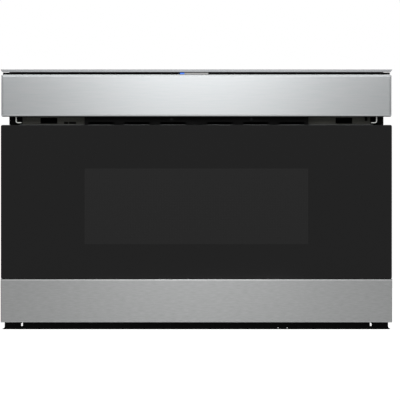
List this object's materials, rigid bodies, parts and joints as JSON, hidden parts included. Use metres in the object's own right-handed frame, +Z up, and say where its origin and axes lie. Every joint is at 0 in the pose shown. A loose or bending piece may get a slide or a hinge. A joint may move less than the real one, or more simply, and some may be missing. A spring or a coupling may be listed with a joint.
{
  "type": "microwave drawer",
  "caption": "Built-in microwave drawer with a motor-driven sliding front and basket, and a tilting control panel hidden above a black glass front.",
  "frame": {"origin": "middle of the bottom face of the part's box, on the floor of the cut-out", "axes": "+Z up, +X to the right seen from the front, the drawer opens towards -Y"},
  "size_m": [0.6064, 0.661, 0.4024],
  "materials": {
    "black_glass": "polished back-painted glass",
    "stainless": "fine horizontal brushing",
    "bright_trim": "bright satin",
    "black_steel": "black powder coat",
    "black_plastic": "fine texture",
    "screen_steel": "black perforated",
    "clear_glass": "clear",
    "grey_nylon": "moulded",
    "basket_plastic": "moulded, satin",
    "white_ceramic": "glazed",
    "zinc_steel": "bright zinc plate",
    "bright_steel": "polished",
    "display_grey": "smoked",
    "light_blue": "lit diffuser",
    "motor_steel": "drawn can",
    "galvanised": "galvanised spangle",
    "cavity_enamel": "grey enamel",
    "cast_aluminium": "satin",
    "core_steel": "varnished laminations",
    "copper_coil": "enamelled wire",
    "board_green": "solder mask",
    "lamp_white": "plain",
    "switch_black": "moulded",
    "plunger_red": "moulded"
  },
  "bodies": {
    "chassis": {"air_grille": "black_plastic", "antenna_cover": "white_ceramic", "antenna_motor": "motor_steel", "base_pan": "galvanised", "bottom_trim": "black_steel", "case_screws": "bright_steel", "cavity": "cavity_enamel", "cavity_brackets": "galvanised", "cavity_lamp": "lamp_white", "cord_gland": "black_plastic", "drive_motor": "motor_steel", "fan_housing": "galvanised", "fan_motor": "core_steel", "front_frame": "galvanised", "header_frame": "black_steel", "hinge_brackets": "zinc_steel", "hv_capacitor": "cast_aluminium", "interlock_switches": "switch_black", "magnetron": "galvanised", "outer_case": "galvanised", "power_board": "board_green", "rear_panel": "galvanised", "skids": "black_plastic", "slide_outer_members": "zinc_steel", "support_rails": "galvanised", "switch_bracket": "zinc_steel", "thermal_cutouts": "white_ceramic", "tilt_motor": "motor_steel", "top_trim": "bright_trim", "transformer_coils": "copper_coil", "transformer_core": "core_steel", "waveguide": "galvanised"},
    "drawer": {"door_glass": "black_glass", "door_trim": "stainless", "door_frame": "black_steel", "choke_cover": "black_plastic", "window_screen": "screen_steel", "inner_window": "clear_glass", "interlock_hooks": "grey_nylon", "basket": "basket_plastic", "ceramic_tray": "white_ceramic", "drive_rack": "grey_nylon", "door_arms": "zinc_steel", "door_screws": "zinc_steel", "slide_inner_members": "zinc_steel"},
    "left_middle_slide": {"slide_middle_left": "zinc_steel"},
    "right_middle_slide": {"slide_middle_right": "zinc_steel"},
    "drive_gear": {"drive_pinion": "grey_nylon"},
    "control_panel": {"panel_bar": "stainless", "panel_housing": "black_plastic", "touch_glass": "black_glass", "display_window": "display_grey", "status_light": "light_blue", "hinge_pins": "bright_steel", "tilt_sector": "grey_nylon"},
    "tilt_gear": {"tilt_pinion": "grey_nylon"},
    "fan": {"fan_wheel": "black_plastic"},
    "stirrer": {"antenna": "cast_aluminium"},
    "lower_switch_plunger": {"lower_plunger": "plunger_red"},
    "upper_switch_plunger": {"upper_plunger": "plunger_red"}
  },
  "joints": [
    {"name": "drawer_slide", "type": "slide", "parent": "chassis", "child": "drawer", "axis": [0, -1, 0], "range_m": [0, 0.38]},
    {"name": "left_middle_travel", "type": "slide", "parent": "chassis", "child": "left_middle_slide", "axis": [0, -1, 0], "range_m": [0, 0.19]},
    {"name": "right_middle_travel", "type": "slide", "parent": "chassis", "child": "right_middle_slide", "axis": [0, -1, 0], "range_m": [0, 0.19]},
    {"name": "drive_pinion_spin", "type": "hinge", "parent": "chassis", "child": "drive_gear", "pos_m": [-0.17, -0.2555, 0.07612], "axis": [1, 0, 0], "range_deg": [0, 1815]},
    {"name": "panel_tilt", "type": "hinge", "parent": "chassis", "child": "control_panel", "pos_m": [0, -0.3095, 0.3433], "axis": [1, 0, 0], "range_deg": [0, 45]},
    {"name": "tilt_pinion_spin", "type": "hinge", "parent": "chassis", "child": "tilt_gear", "pos_m": [0.264, -0.2775, 0.3433], "axis": [1, 0, 0], "range_deg": [-136, 0]},
    {"name": "fan_spin", "type": "hinge", "parent": "chassis", "child": "fan", "pos_m": [0, 0.28, 0.15], "axis": [0, 1, 0], "continuous": true},
    {"name": "antenna_spin", "type": "hinge", "parent": "chassis", "child": "stirrer", "pos_m": [0, -0.076, 0.09], "axis": [0, 0, 1], "continuous": true},
    {"name": "lower_plunger_press", "type": "slide", "parent": "chassis", "child": "lower_switch_plunger", "axis": [0, 1, 0], "range_m": [0, 0.0012], "stiffness_N_per_m": 300, "springref_m": -0.002},
    {"name": "upper_plunger_press", "type": "slide", "parent": "chassis", "child": "upper_switch_plunger", "axis": [0, 1, 0], "range_m": [0, 0.0012], "stiffness_N_per_m": 300, "springref_m": -0.002}
  ],
  "couplings": [
    {"joint": "left_middle_travel", "follows": "drawer_slide", "ratio": 0.5},
    {"joint": "right_middle_travel", "follows": "drawer_slide", "ratio": 0.5},
    {"joint": "drive_pinion_spin", "follows": "drawer_slide", "rad_per_m": 83.333},
    {"joint": "tilt_pinion_spin", "follows": "panel_tilt", "ratio": -3}
  ]
}
